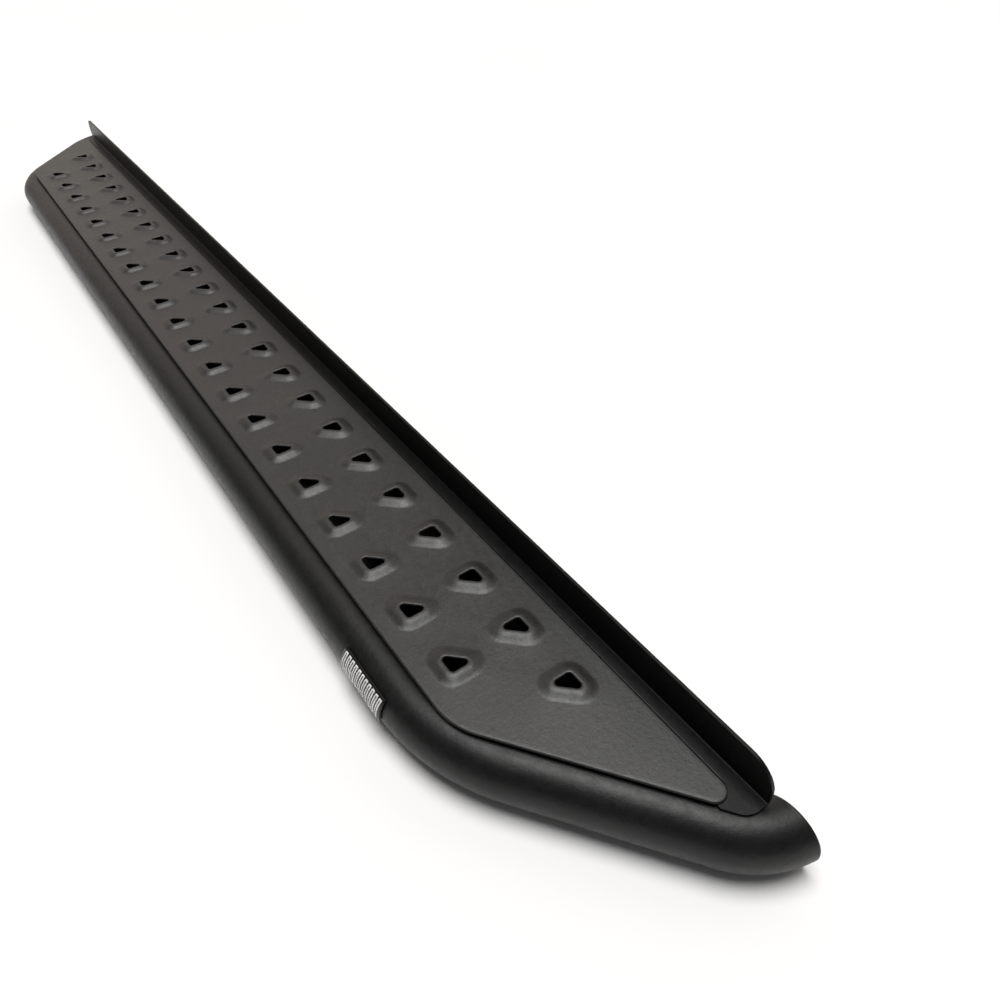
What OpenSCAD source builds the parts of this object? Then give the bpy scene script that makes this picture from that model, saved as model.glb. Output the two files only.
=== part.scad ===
// Running board: a bent round main tube and a straight rear tube carry an embossed step plate
// and a rear angle. X runs along the vehicle, +Y points to the vehicle, Z is up.
// The origin is the centre of the footprint, on the ground under the tubes. All sizes in mm.

/* [Main tube] */
// Outer diameter of the bent outboard tube
main_d = 57; // [50:0.5:64]
// Wall of both tubes
tube_wall = 1.8; // [1.5:0.1:3]
// Distance from the centre line to the axis of the straight run
main_y = 78.75; // [76:0.25:82]
// Half of the length between the axes of the two inturned ends
end_x = 1017; // [1000:1:1040]
// Outer face of the end discs, measured towards the vehicle
end_face_y = 105.75; // [104:0.25:108]
// Thickness of the end discs
disc_t = 3; // [2:0.5:5]

/* [Bend at the +X end] */
// Where the straight run and the slanted run would meet
front_corner_x = 794; // [760:1:820]
// Angle of the slanted run
front_angle = 36; // [32:0.5:40]
// Centre-line radius of the first bend
front_r1 = 200; // [150:5:240]
// Centre-line radius of the second bend
front_r2 = 82; // [70:1:90]

/* [Bend at the -X end] */
// Where the straight run and the slanted run would meet
back_corner_x = 841; // [830:1:860]
// Angle of the slanted run
back_angle = 42.5; // [40:0.5:45]
// Centre-line radius of the first bend
back_r1 = 140; // [120:5:180]
// Centre-line radius of the second bend
back_r2 = 105; // [90:1:110]

/* [Rear tube] */
// Outer diameter of the straight inboard tube
rear_d = 50.8; // [48:0.1:52]
// Distance from the centre line to the rear tube's axis
rear_y = 80.3; // [79:0.1:80.5]

/* [Step plate] */
// Thickness of the tread sheet
plate_t = 3; // [2:0.5:4]
// Outboard edge of the tread sheet, from the centre line
plate_out_y = 71.25; // [68:0.25:73]
// Inboard edge of the tread sheet, from the centre line
plate_in_y = 74.75; // [72:0.25:76]
// Corner radius where the long edge turns into the slanted edge
plate_bend_r = 75; // [50:5:100]
// Radius of the two pointed end corners
plate_tip_r = 11; // [6:1:14]
// Height of the raised rims over the sheet
emboss_h = 4; // [3:0.5:5]

/* [Holes] */
// Distance between neighbouring holes of a row
hole_pitch = 76.2; // [72:0.1:80]
// Holes in the inboard row
inboard_holes = 23; // [21:2:23]
// Holes in the outboard row
outboard_holes = 21; // [19:2:21]
// Distance between the two rows
row_gap = 68.5; // [64:0.5:72]
// Shift of the whole hole pattern along the board
pattern_shift = -12; // [-14:1:-10]

/* [Rear angle] */
// Sheet thickness of the rear angle
angle_t = 3; // [2:0.5:4]
// Width of its horizontal lip, to the outside of the upright
lip_w = 35; // [34:0.5:36]
// Overall height of its upright
upright_h = 41.5; // [38:0.5:45]
// Inboard face of the upright, from the centre line
upright_y = 93.35; // [93:0.05:94]
// Half of its length
angle_half_x = 999; // [990:1:1002]
// Inside radius of its fold
fold_r = 4; // [3:0.5:5]
// Radius of the upright's top corners
upright_corner_r = 27; // [20:1:32]

/* [Brackets underneath] */
// Centres of the four cross members along X
brace_x = [-694, -237, 297, 678];
// Width of a cross member along X
brace_w = 50; // [44:1:56]
// Sheet thickness of a cross member
brace_t = 4; // [3:0.5:5]
// Underside of the cross members over the ground
brace_z = 22; // [20:1:26]
// Distance between the two bracket bolts of a cross member
bolt_gap = 56; // [50:1:60]
// Thread bore of the M10 weld nuts
nut_bore_d = 8.5; // [8.4:0.1:9]
// Height of the weld nuts
nut_h = 8; // [6:0.5:9]
// Size across the flats of the weld nuts
nut_af = 17; // [16:0.5:18]

/* [Badge] */
// Middle of the badge along X
badge_x = 701; // [690:1:702]
// Length of the badge
badge_len = 75; // [60:1:80]
// Angle over the horizontal at which the badge starts, on the tube's outboard side
badge_low_angle = -4; // [-10:1:0]
// Angle that the badge covers around the tube
badge_span = 50; // [40:1:52]

/* [Hidden] */
$fn = 64;

main_r = main_d / 2;
rear_r = rear_d / 2;
crown_z = main_d;                          // top of the main tube
rear_drop = 0.5;                           // gap between the rear tube and the lip
rear_z = crown_z - rear_drop - rear_r;
lip_z = crown_z;                           // underside of the rear angle
plate_z = lip_z + angle_t;                 // the tread sheet rests on the lip
tread_z = plate_z + plate_t;               // upper face of the tread sheet
upright_top_z = lip_z + upright_h;
tube_end_y = end_face_y - disc_t;
plate_slant = 2.4;                         // slanted edge of the sheet to the tube's axis
edge_turn_h = 3;                           // turned-down outer edge of the tread sheet
black = [0.10, 0.10, 0.10];
past = 1;                                  // how far cutters run past a face

// Hole outline: two legs and a slanted side, given by their distances from the hole's middle
hole_leg_x = 8;
hole_leg_y = 7.7;
hole_slant = 5.5;
hole_corner_r = 3;
rim_base = 9;                              // how far the foot of the rim stands out from the hole
rim_top = 5;

// ---- outlines ----

// Corner p1 of the path p0-p1-p2, rounded to radius r with n steps
function round_corner(p0, p1, p2, r, n) =
    let (a = (p0 - p1) / norm(p0 - p1), b = (p2 - p1) / norm(p2 - p1),
         half = acos(a * b) / 2,
         mid = (a + b) / norm(a + b),
         c = p1 + mid * r / sin(half),
         s = p1 + a * r / tan(half) - c,
         turn = (a[0] * b[1] - a[1] * b[0] > 0 ? -1 : 1) * (180 - 2 * half))
    [for (i = [0 : n]) let (t = turn * i / n)
        c + [s[0] * cos(t) - s[1] * sin(t), s[0] * sin(t) + s[1] * cos(t)]];

// Closed outline with one radius for each corner
function rounded(points, radii, n) =
    let (k = len(points))
    [for (i = [0 : k - 1]) each radii[i] == 0 ? [points[i]] :
        round_corner(points[(i + k - 1) % k], points[i], points[(i + 1) % k], radii[i], n)];

// Rounded right triangle, grown outwards by g from the hole's own edge
function hole_outline(g) =
    let (lx = hole_leg_x + g, ly = hole_leg_y + g, h = (hole_slant + g) * sqrt(2))
    rounded([[-lx, ly], [ly + h, ly], [-lx, -lx - h]],
            [hole_corner_r + g, hole_corner_r + g, hole_corner_r + g], 4);

// Tread sheet seen from above; the slanted ends follow the main tube
front_plate_x = front_corner_x + (main_y - plate_out_y) / tan(front_angle)
    - plate_slant / sin(front_angle);
back_plate_x = back_corner_x + (main_y - plate_out_y) / tan(back_angle)
    - 3 * plate_slant / sin(back_angle);
plate_w = plate_out_y + plate_in_y;
function plate_outline() = rounded(
    [[-back_plate_x, -plate_out_y], [front_plate_x, -plate_out_y],
     [front_plate_x + plate_w / tan(front_angle), plate_in_y],
     [-back_plate_x - plate_w / tan(back_angle), plate_in_y]],
    [plate_bend_r, plate_bend_r, plate_tip_r, plate_tip_r], 8);

// ---- bent tube ----

// Round section of radius r with a bore; a bore of 0 leaves it solid
module section(r, bore) {
    difference() {
        circle(r = r);
        if (bore > 0) circle(r = bore);
    }
}

// Length that a bend takes off the straight on each side of its corner, to the micrometre
function setback(radius, angle) = round(1000 * radius * tan(angle / 2)) / 1000;

front_run_x = front_corner_x - setback(front_r1, front_angle);
back_run_x = back_corner_x - setback(back_r1, back_angle);
hairline = 0.02;                           // between the straight run and each bent end

module straight_run(r, bore) {
    translate([hairline - back_run_x, -main_y, main_r]) rotate([0, 90, 0])
        linear_extrude(back_run_x + front_run_x - 2 * hairline) section(r, bore);
}

module bend_sweep(radius, angle, r, bore) {
    rotate_extrude(angle = angle) translate([radius, 0]) section(r, bore);
}

// First bend, slanted run and second bend, drawn for the +X end
module bent_end(corner_x, angle, r1, r2, r, bore) {
    run_start = setback(r1, angle);
    slant = round(1000 * (end_x - corner_x) / cos(angle)) / 1000;
    run_end = slant - setback(r2, 90 - angle);
    translate([corner_x, -main_y, main_r]) rotate([0, 0, angle]) {
        translate([run_start, r1, 0]) mirror([1, 0, 0]) rotate([0, 0, -90])
            bend_sweep(r1, angle, r, bore);
        translate([run_start, 0, 0]) rotate([0, 90, 0])
            linear_extrude(run_end - run_start) section(r, bore);
        translate([run_end, r2, 0]) rotate([0, 0, -90])
            bend_sweep(r2, 90 - angle, r, bore);
    }
}

module front_end(r, bore) bent_end(front_corner_x, front_angle, front_r1, front_r2, r, bore);
module back_end(r, bore) mirror([1, 0, 0])
    bent_end(back_corner_x, back_angle, back_r1, back_r2, r, bore);

// Everything between two heights along Y, wide enough to hold a tube end
module y_slab(y0, y1) {
    translate([-2 * end_x, y0, -main_d]) cube([4 * end_x, y1 - y0, 3 * main_d]);
}

module main_tube() {
    bore = main_r - tube_wall;
    color(black) {
        straight_run(main_r, bore);
        difference() {
            front_end(main_r, bore);
            y_slab(tube_end_y, 2 * end_face_y);
        }
        difference() {
            back_end(main_r, bore);
            y_slab(tube_end_y, 2 * end_face_y);
        }
    }
}

// ---- rear tube ----

rear_half_x = 985;                         // the ends are coped to fit the main tube
weld_gap = 0.2;                            // left between a coped end and the main tube

module rear_bar(r, bore, half) {
    translate([-half, rear_y, rear_z]) rotate([0, 90, 0])
        linear_extrude(2 * half) section(r, bore);
}

module rear_tube() {
    color(black) difference() {
        rear_bar(rear_r, rear_r - tube_wall, rear_half_x);
        front_end(main_r + weld_gap, 0);
        back_end(main_r + weld_gap, 0);
    }
}

// ---- end discs and their plugs ----

plug_hole_d = 22;
plug_flange_d = 28;
plug_flange_h = 0.9;
plug_button_d = 15;
plug_button_h = 0.6;
plug_stem_d = 21.6;
plug_stem_h = 7;
front_axis_x = 1014.7;                     // where the tube's axis meets the discs
back_axis_x = 1014.3;

module y_cylinder(x, y, d, h) {
    translate([x, y, main_r]) rotate([-90, 0, 0]) cylinder(d = d, h = h);
}

module front_end_disc() {
    color(black) difference() {
        intersection() {
            front_end(main_r, 0);
            y_slab(tube_end_y, end_face_y);
        }
        y_cylinder(front_axis_x, tube_end_y - past, plug_hole_d, disc_t + 2 * past);
    }
}

module back_end_disc() {
    color(black) difference() {
        intersection() {
            back_end(main_r, 0);
            y_slab(tube_end_y, end_face_y);
        }
        y_cylinder(-back_axis_x, tube_end_y - past, plug_hole_d, disc_t + 2 * past);
    }
}

module disc_plug(x) {
    color([0.06, 0.06, 0.06]) {
        y_cylinder(x, end_face_y, plug_flange_d, plug_flange_h);
        y_cylinder(x, end_face_y + plug_flange_h, plug_button_d, plug_button_h);
        y_cylinder(x, end_face_y - plug_stem_h, plug_stem_d, plug_stem_h);
    }
}

module front_disc_plug() disc_plug(front_axis_x);
module back_disc_plug() disc_plug(-back_axis_x);

// ---- step plate ----

// Puts its children at every hole; the outboard row is turned half a turn
module at_holes() {
    for (i = [0 : inboard_holes - 1])
        translate([pattern_shift + (i - (inboard_holes - 1) / 2) * hole_pitch, row_gap / 2])
            children();
    for (i = [0 : outboard_holes - 1])
        translate([pattern_shift + (i - (outboard_holes - 1) / 2) * hole_pitch, -row_gap / 2])
            rotate(180) children();
}

module rim_ring(g, z0, z1) {
    translate([0, 0, z0]) linear_extrude(z1 - z0) difference() {
        at_holes() polygon(hole_outline(g));
        at_holes() polygon(hole_outline(0));
    }
}

module edge_turn() {
    edge_w = 3;
    inner = 2 * edge_w;
    translate([0, 0, plate_z - edge_turn_h]) linear_extrude(edge_turn_h)
        polygon(concat(
            rounded([[-back_plate_x, -plate_out_y], [front_plate_x, -plate_out_y],
                     [front_plate_x + 160, -plate_out_y + 160 * tan(front_angle)],
                     [front_plate_x + 160 - inner * sin(front_angle),
                      -plate_out_y + 160 * tan(front_angle) + inner * cos(front_angle)],
                     [front_plate_x - edge_w * tan(front_angle / 2), edge_w - plate_out_y],
                     [-back_plate_x + edge_w * tan(back_angle / 2), edge_w - plate_out_y],
                     [-back_plate_x - 130 + inner * sin(back_angle),
                      -plate_out_y + 130 * tan(back_angle) + inner * cos(back_angle)],
                     [-back_plate_x - 130, -plate_out_y + 130 * tan(back_angle)]],
                    [plate_bend_r, plate_bend_r, 0, 0,
                     plate_bend_r - edge_w, plate_bend_r - edge_w, 0, 0], 8)));
}

module step_plate() {
    color([0.13, 0.13, 0.13]) {
        translate([0, 0, plate_z]) linear_extrude(plate_t) difference() {
            polygon(plate_outline());
            at_holes() polygon(hole_outline(0));
        }
        rim_ring(rim_base, tread_z, tread_z + emboss_h / 2);
        rim_ring(rim_top, tread_z + emboss_h / 2, tread_z + emboss_h);
        edge_turn();
    }
}

// ---- rear angle ----

lip_tip_r = 18;
lip_out_y = upright_y - lip_w;
lip_slant_x = 18.4;                        // how far the slanted end of the lip runs along X

function fold_profile() = let (ro = fold_r + angle_t, y = upright_y, z = lip_z) concat(
    [[lip_out_y, z]],
    [for (i = [0 : 8]) [y - ro + ro * sin(90 * i / 8), z + ro - ro * cos(90 * i / 8)]],
    [[y, upright_top_z], [y - angle_t, upright_top_z]],
    [for (i = [8 : -1 : 0]) [y - ro + fold_r * sin(90 * i / 8), z + ro - fold_r * cos(90 * i / 8)]],
    [[lip_out_y, z + angle_t]]);

// The lip's slanted, rounded ends, seen from above
function lip_outline() = let (
    x = angle_half_x, s = lip_slant_x, far = upright_y + past, near = lip_out_y) rounded(
    [[-x + s, near], [x - s, near], [x, near + s * tan(front_angle)], [x, far],
     [-x, far], [-x, near + s * tan(back_angle)]],
    [0, 0, lip_tip_r, 0, 0, lip_tip_r], 8);

module rear_angle() {
    color([0.12, 0.12, 0.12]) intersection() {
        translate([-angle_half_x, 0, 0]) rotate([90, 0, 90]) linear_extrude(2 * angle_half_x)
            polygon(fold_profile());
        linear_extrude(2 * upright_top_z) polygon(lip_outline());
        translate([0, 2 * upright_y, 0]) rotate([90, 0, 0]) linear_extrude(2 * upright_y)
            polygon(rounded([[-angle_half_x, 0], [angle_half_x, 0],
                             [angle_half_x, upright_top_z], [-angle_half_x, upright_top_z]],
                            [0, 0, upright_corner_r, upright_corner_r], 12));
    }
}

// ---- cross members and weld nuts ----

// Outer surfaces of both tubes along the straight run, for coping
module straight_bars(r_grow) {
    translate([-end_x, -main_y, main_r]) rotate([0, 90, 0])
        cylinder(r = main_r + r_grow, h = 2 * end_x);
    translate([-end_x, rear_y, rear_z]) rotate([0, 90, 0])
        cylinder(r = rear_r + r_grow, h = 2 * end_x);
}

brace_h = plate_z - brace_z;
bolt_mid_y = (rear_y - rear_r - main_y + main_r) / 2;

module cross_member(x) {
    color([0.11, 0.11, 0.11]) difference() {
        translate([x - brace_w / 2, -main_y, brace_z]) difference() {
            cube([brace_w, main_y + rear_y, brace_h]);
            translate([brace_t, -past, brace_t])
                cube([brace_w - 2 * brace_t, main_y + rear_y + 2 * past, brace_h]);
        }
        straight_bars(0);
        // room for the lip of the rear angle
        translate([x - brace_w, lip_out_y - past, lip_z]) cube([2 * brace_w, 2 * lip_w, plate_z]);
        // room for the turned edge and the crown of the main tube
        translate([x - brace_w, -2 * main_y, lip_z - past])
            cube([2 * brace_w, 2 * main_y - plate_out_y + 6, plate_z]);
        for (s = [-1, 1]) translate([x, bolt_mid_y + s * bolt_gap / 2, brace_z - past])
            cylinder(d = 11, h = brace_t + 2 * past);
    }
}

module cross_member_1() cross_member(brace_x[0]);
module cross_member_2() cross_member(brace_x[1]);
module cross_member_3() cross_member(brace_x[2]);
module cross_member_4() cross_member(brace_x[3]);

module weld_nuts(x) {
    color("dimgray") for (s = [-1, 1])
        translate([x, bolt_mid_y + s * bolt_gap / 2, brace_z + brace_t]) difference() {
            cylinder(d = nut_af / cos(30), h = nut_h, $fn = 6);
            translate([0, 0, -past]) cylinder(d = nut_bore_d, h = nut_h + 2 * past);
        }
}

module weld_nuts_1() weld_nuts(brace_x[0]);
module weld_nuts_2() weld_nuts(brace_x[1]);
module weld_nuts_3() weld_nuts(brace_x[2]);
module weld_nuts_4() weld_nuts(brace_x[3]);

// ---- badge ----

pad_t = 0.8;
badge_t = 1.7;
bar_h = 0.7;
bar_count = 9;
badge_rim = 2;                             // border left around the raised bars

// Shell around the main tube from radius r0 to r1, len long, turned up by a0 to a0 + span
module tube_shell(x, len, r0, r1, a0, span) {
    translate([x - len / 2, -main_y, main_r]) rotate([0, 90, 0])
        rotate([0, 0, 270 - a0 - span]) rotate_extrude(angle = span)
        translate([r0, 0]) square([r1 - r0, len]);
}

module badge_pad() {
    color([0.05, 0.05, 0.05]) tube_shell(badge_x, badge_len - 2, main_r, main_r + pad_t,
        badge_low_angle + 1, badge_span - 2);
}

module badge_plate() {
    color([0.04, 0.04, 0.04]) tube_shell(badge_x, badge_len, main_r + pad_t,
        main_r + pad_t + badge_t, badge_low_angle, badge_span);
}

// A row of plain upright bars between two rails
module badge_bars() {
    r0 = main_r + pad_t + badge_t;
    inner_len = badge_len - 2 * badge_rim;
    step = inner_len / bar_count;
    bar_w = step * 0.55;
    color("silver") {
        for (i = [0 : bar_count - 1])
            tube_shell(badge_x + (i - (bar_count - 1) / 2) * step, bar_w, r0, r0 + bar_h,
                badge_low_angle + 5, badge_span - 10);
    }
}

// ---- welds ----

stitch_x = [-985, -940, -705, -470, -165, 45, 280, 520, 695, 880];
plate_stitch_x = [-760, -560, -360, -120, 120, 380, 560, 740];

module x_bead(x, y, z, r, len) {
    translate([x - len / 2, y, z]) rotate([0, 90, 0]) cylinder(r = r, h = len);
}

// Short beads that join the fold of the rear angle to the rear tube
module angle_stitch_welds() {
    color(black) difference() {
        for (x = stitch_x) x_bead(x, 91.3, 56.6, 3.2, 12);
        rear_bar(rear_r, 0, end_x);
        front_end(main_r, 0);
        back_end(main_r, 0);
        translate([-angle_half_x, 0, 0]) rotate([90, 0, 90]) linear_extrude(2 * angle_half_x)
            polygon(fold_profile());
    }
}

// Beads under the tread sheet that join its turned edge to the main tube
module plate_stitch_welds() {
    color(black) difference() {
        for (x = plate_stitch_x) x_bead(x, 3 - plate_out_y + 1.2, plate_z - edge_turn_h, 3.2, 30);
        straight_bars(0);
        translate([-end_x, -plate_out_y - 20, plate_z - edge_turn_h])
            cube([2 * end_x, 20 + 3, plate_t + edge_turn_h]);
        translate([-end_x, -plate_out_y, plate_z]) cube([2 * end_x, 2 * plate_out_y, plate_t]);
    }
}

// Beads between the webs of the cross members and the two tubes
module cross_member_welds() {
    bead_len = brace_w - 8;
    web_top = brace_z;
    main_edge = -main_y + sqrt(main_r * main_r - pow(main_r - web_top, 2));
    rear_edge = rear_y - sqrt(rear_r * rear_r - pow(rear_z - web_top, 2));
    color(black) difference() {
        for (x = brace_x, y = [main_edge, rear_edge]) x_bead(x, y, web_top, 3.5, bead_len);
        straight_bars(0);
        for (x = brace_x) translate([x - brace_w, -main_y, brace_z])
            cube([2 * brace_w, main_y + rear_y, brace_h]);
    }
}

// Upright beads on the seam between the rear tube and each end disc
joint_bead_r = 3;
joint_bead_h = 18;
module tube_joint_welds() {
    color(black) difference() {
        for (s = [-1, 1]) translate([s * (rear_half_x + 1), end_face_y - 1, rear_z - joint_bead_h / 2])
            cylinder(r = joint_bead_r, h = joint_bead_h);
        y_slab(0, end_face_y);
    }
}

main_tube();
rear_tube();
step_plate();
rear_angle();
front_end_disc();
back_end_disc();
front_disc_plug();
back_disc_plug();
cross_member_1();
cross_member_2();
cross_member_3();
cross_member_4();
weld_nuts_1();
weld_nuts_2();
weld_nuts_3();
weld_nuts_4();
badge_plate();
badge_pad();
badge_bars();
angle_stitch_welds();
plate_stitch_welds();
cross_member_welds();
tube_joint_welds();
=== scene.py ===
"""Looks of a running board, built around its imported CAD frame. The board's sizes are in millimetres, which
add_mesh turns into metres; the floor, the lights, the camera and places in materials are in metres."""

import math

import bmesh
import bpy
import numpy as np
from mathutils import Matrix, Vector
from mathutils.geometry import delaunay_2d_cdt


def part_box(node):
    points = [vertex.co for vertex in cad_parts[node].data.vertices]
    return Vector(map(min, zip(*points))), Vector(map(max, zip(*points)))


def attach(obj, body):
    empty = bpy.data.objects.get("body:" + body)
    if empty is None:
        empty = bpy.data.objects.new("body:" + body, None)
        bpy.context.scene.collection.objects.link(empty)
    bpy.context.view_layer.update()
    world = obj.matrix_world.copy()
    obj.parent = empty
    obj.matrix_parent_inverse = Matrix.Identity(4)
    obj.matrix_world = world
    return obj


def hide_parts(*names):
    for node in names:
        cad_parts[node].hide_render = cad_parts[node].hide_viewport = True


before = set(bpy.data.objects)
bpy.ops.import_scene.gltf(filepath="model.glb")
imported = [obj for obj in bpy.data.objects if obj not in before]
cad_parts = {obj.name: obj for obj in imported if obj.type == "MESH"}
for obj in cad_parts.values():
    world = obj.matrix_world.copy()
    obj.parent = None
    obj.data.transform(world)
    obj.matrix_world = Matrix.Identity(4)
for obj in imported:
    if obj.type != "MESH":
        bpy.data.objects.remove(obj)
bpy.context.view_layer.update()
MM = 0.001


def node_box(name):
    """Lowest and highest corners of a CAD node in millimetres."""
    low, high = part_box(name)
    return np.array(low) / MM, np.array(high) / MM


# ---- sizes read from the frame ----

tube_low, tube_high = node_box("main_tube")
rear_low, rear_high = node_box("rear_tube")
plate_low, plate_high = node_box("step_plate")
angle_low, angle_high = node_box("rear_angle")
disc_low, disc_high = node_box("front_end_disc")
badge_low, badge_high = node_box("badge_plate")

MAIN_R = (tube_high[2] - tube_low[2]) / 2
MAIN_Y = tube_low[1] + MAIN_R
MAIN_Z = tube_low[2] + MAIN_R
REAR_R = (rear_high[2] - rear_low[2]) / 2
REAR_Z = rear_low[2] + REAR_R
REAR_Y = rear_high[1] - REAR_R
DISC_BACK, DISC_FACE = disc_low[1], disc_high[1]
# Thickness of the tread sheet and the rear angle, and how high the CAD's rims stand over the tread
SHEET = 3.0
CAD_RIM = 4.0
TREAD_Z = plate_high[2] - CAD_RIM
PLATE_OUT_Y, PLATE_IN_Y = plate_low[1], plate_high[1]

# ---- sizes that the CAD source has too ----

# Axis of the inturned ends
END_X = 1017.0
# From the sheet's slanted edge to the tube's axis
PLATE_SLACK = 2.4
# An end: where the tube's axis turns first and by how much, the radii of its two bends, and its side
FRONT = {"corner": 794.0, "angle": 36.0, "r1": 200.0, "r2": 82.0, "side": 1, "slack": PLATE_SLACK}
BACK = {"corner": 841.0, "angle": 42.5, "r1": 140.0, "r2": 105.0, "side": -1, "slack": 3 * PLATE_SLACK}
# Corners of the tread sheet, outboard and inboard
PLATE_BEND_R, PLATE_TIP_R = 75.0, 11.0
HOLES_INBOARD, HOLES_OUTBOARD = 23, 21
PITCH = 76.2
ROW_GAP = 68.5
# Middle of both rows of holes
SHIFT = -12.0
HOLE_LEG_X, HOLE_LEG_Y = 8.0, 7.7
LIP_SLANT, LIP_TIP_R, UPRIGHT_CORNER_R = 18.4, 18.0, 27.0
PLUG_HOLE_R = 11.0

# ---- sizes of the look's own, where it isn't as plain as the CAD ----

# The rear tube runs on into the inturned ends, to this short of their axis
REAR_SHORT = 17.0
HOLE_SLANT, HOLE_CORNER = 5.3, 3.5
# How fast a rim's sides and its corner radii grow with the distance from the hole
SIDE_SHARE, CORNER_SHARE = 0.95, 0.86
# Inside radius of the rear angle's fold
FOLD_R = 1.6
# How far the sheet's outboard edge is turned down
EDGE_TURN = 3.0
# Groove in the lip beside the tread sheet, and the length over which it runs out
GROOVE_DEPTH, GROOVE_RUN_OUT = 2.2, 4.0

# ---- sky and camera ----

# Strength of the sky as a light, and as the camera sees it
WORLD_LIGHT, WORLD_SEEN = 0.11, 0.95
CAMERA_PLACE = (1.1299, -0.2256, 0.6464)
CAMERA_FORWARD = (-0.6168, 0.4033, -0.6760)
CAMERA_ROLL = -2.85
CAMERA_LENS, CAMERA_SENSOR = 28.55, 36.0


# ---- mesh helpers ----


def add_mesh(name, verts, faces, material, sharp_angle=35):
    """A mesh object from millimetre points. Edges sharper than sharp_angle stay crisp."""
    mesh = bpy.data.meshes.new(name)
    mesh.from_pydata([tuple(c * MM for c in v) for v in verts], [], faces)
    mesh.validate()
    b = bmesh.new()
    b.from_mesh(mesh)
    bmesh.ops.remove_doubles(b, verts=b.verts, dist=1e-6)
    bmesh.ops.recalc_face_normals(b, faces=b.faces)
    for face in b.faces:
        face.smooth = True
    limit = math.radians(sharp_angle)
    for edge in b.edges:
        if len(edge.link_faces) == 2:
            edge.smooth = edge.calc_face_angle(0) < limit
    b.to_mesh(mesh)
    b.free()
    mesh.materials.append(material)
    obj = bpy.data.objects.new(name, mesh)
    bpy.context.scene.collection.objects.link(obj)
    return obj


class Grid:
    """Collects rings and strips of points into one mesh."""

    def __init__(self):
        self.verts, self.faces = [], []

    def ring(self, points):
        start = len(self.verts)
        self.verts += [tuple(p) for p in points]
        return list(range(start, len(self.verts)))

    def bridge(self, a, b, closed=True):
        n = len(a)
        for i in range(n if closed else n - 1):
            j = (i + 1) % n
            self.faces.append((a[i], a[j], b[j], b[i]))

    def skin(self, rings, closed=True):
        rows = [self.ring(r) for r in rings]
        for a, b in zip(rows, rows[1:]):
            self.bridge(a, b, closed)
        return rows


def finish_piece(obj, slot, *nodes):
    """A piece rides on the board: it is parented to the root body, and the CAD nodes named, which it stands
    in for, are hidden. The slot is not used.
    """
    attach(obj, "root")
    if nodes:
        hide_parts(*nodes)
    return obj


def rounded(points, radii, steps):
    """Closed outline whose corners are rounded, each to its own radius."""
    out = []
    count = len(points)
    for i, radius in enumerate(radii):
        p0, p1, p2 = (np.array(points[(i + k) % count], float) for k in (-1, 0, 1))
        if radius == 0:
            out.append(p1)
            continue
        a = (p0 - p1) / np.linalg.norm(p0 - p1)
        b = (p2 - p1) / np.linalg.norm(p2 - p1)
        half = math.acos(np.clip(a @ b, -1, 1)) / 2
        centre = p1 + (a + b) / np.linalg.norm(a + b) * radius / math.sin(half)
        arm = p1 + a * radius / math.tan(half) - centre
        turn = (math.pi - 2 * half) * (-1 if a[0] * b[1] - a[1] * b[0] > 0 else 1)
        for k in range(steps + 1):
            t = turn * k / steps
            out.append(centre + [arm[0] * math.cos(t) - arm[1] * math.sin(t),
                                 arm[0] * math.sin(t) + arm[1] * math.cos(t)])
    return np.array(out)


def subdivide(outline, longest):
    """The same closed outline with no stretch longer than the given length."""
    out = []
    for p, q in zip(outline, np.roll(outline, -1, axis=0)):
        n = max(1, math.ceil(np.linalg.norm(q - p) / longest))
        out += [p + (q - p) * k / n for k in range(n)]
    return np.array(out)


def inset(outline, distance):
    """Closed outline moved inwards by distance; the outline runs anticlockwise."""
    prev, after = np.roll(outline, 1, axis=0), np.roll(outline, -1, axis=0)
    a = outline - prev
    b = after - outline
    a /= np.linalg.norm(a, axis=1)[:, None]
    b /= np.linalg.norm(b, axis=1)[:, None]
    na = np.stack([-a[:, 1], a[:, 0]], 1)
    nb = np.stack([-b[:, 1], b[:, 0]], 1)
    n = na + nb
    n /= np.linalg.norm(n, axis=1)[:, None]
    return outline + n * (distance / np.clip((n * na).sum(1), 0.4, 1))[:, None]


def anticlockwise(outline):
    """The same outline, turned round if it runs clockwise."""
    x, y = outline[:, 0], outline[:, 1]
    area = (x * np.roll(y, -1) - np.roll(x, -1) * y).sum()
    return outline if area > 0 else outline[::-1]


# ---- materials ----


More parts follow.
